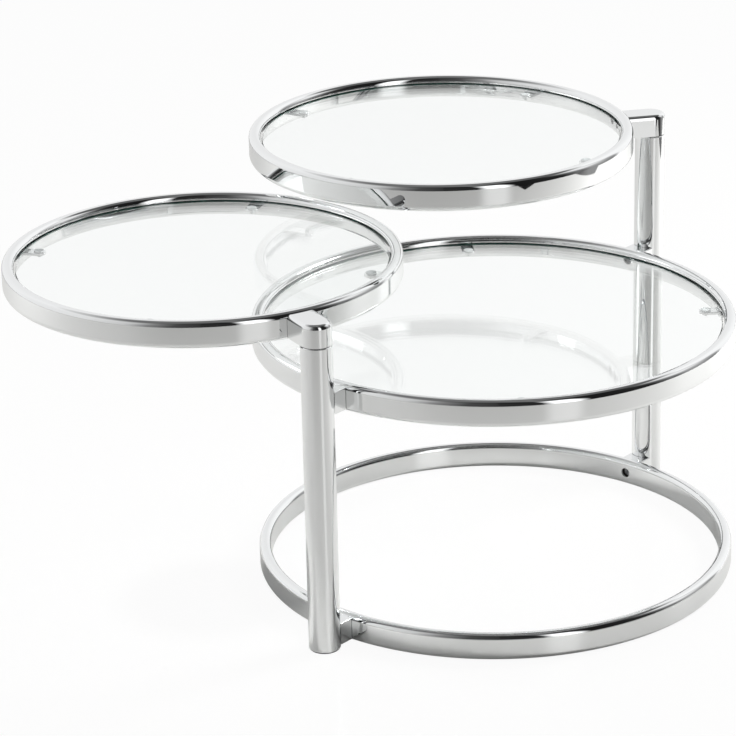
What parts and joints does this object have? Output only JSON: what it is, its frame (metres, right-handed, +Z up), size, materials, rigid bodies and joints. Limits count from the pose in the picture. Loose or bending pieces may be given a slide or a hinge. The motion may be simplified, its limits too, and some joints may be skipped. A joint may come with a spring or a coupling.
{
  "type": "coffee table",
  "caption": "Chromed ring-and-post coffee table with a fixed round glass shelf and round glass tops that swivel out on the posts.",
  "frame": {"origin": "on the axis of the base ring, at the floor", "axes": "+Z up; seen from the front +X is right and +Y is away"},
  "size_m": [0.7519, 0.6196, 0.427],
  "materials": {
    "chrome_tube": "bright chrome plate on bent tube",
    "chrome_cast": "bright chrome plate on solid pieces",
    "clear_glass": "clear tempered float glass, green at the edge",
    "clear_pad": "soft clear plastic",
    "black_plastic": "black moulded plastic",
    "zinc_steel": "bright zinc plate on steel fasteners",
    "pivot_steel": "turned steel, oiled"
  },
  "bodies": {
    "frame": {"base_ring": "chrome_tube", "base_front_spacer": "chrome_cast", "base_rear_spacer": "chrome_cast", "base_ring_screws": "zinc_steel", "middle_ring": "chrome_tube", "middle_front_spacer": "chrome_cast", "middle_rear_spacer": "chrome_cast", "middle_ring_screws": "zinc_steel", "front_post": "chrome_tube", "front_post_foot": "black_plastic", "front_post_nuts": "zinc_steel", "rear_post": "chrome_tube", "rear_post_foot": "black_plastic", "rear_post_nuts": "zinc_steel", "middle_glass": "clear_glass", "middle_glass_tabs": "chrome_cast", "middle_glass_pads": "clear_pad", "lower_pivot_bush": "black_plastic", "upper_pivot_bush": "black_plastic"},
    "lower_top": {"lower_top_ring": "chrome_tube", "lower_glass": "clear_glass", "lower_glass_tabs": "chrome_cast", "lower_glass_pads": "clear_pad", "lower_swivel_cap": "chrome_cast", "lower_cap_screws": "zinc_steel", "lower_pivot_pin": "pivot_steel", "lower_pivot_washer": "pivot_steel", "lower_pivot_clip": "pivot_steel"},
    "upper_top": {"upper_top_ring": "chrome_tube", "upper_glass": "clear_glass", "upper_glass_tabs": "chrome_cast", "upper_glass_pads": "clear_pad", "upper_swivel_cap": "chrome_cast", "upper_cap_screws": "zinc_steel", "upper_pivot_pin": "pivot_steel", "upper_pivot_washer": "pivot_steel", "upper_pivot_clip": "pivot_steel"}
  },
  "joints": [
    {"name": "lower_top_swivel", "type": "hinge", "parent": "frame", "child": "lower_top", "pos_m": [-0.17916, -0.21126, 0.32625], "axis": [0, 0, 1], "continuous": true},
    {"name": "upper_top_swivel", "type": "hinge", "parent": "frame", "child": "upper_top", "pos_m": [0.17916, 0.21126, 0.40125], "axis": [0, 0, 1], "continuous": true}
  ]
}
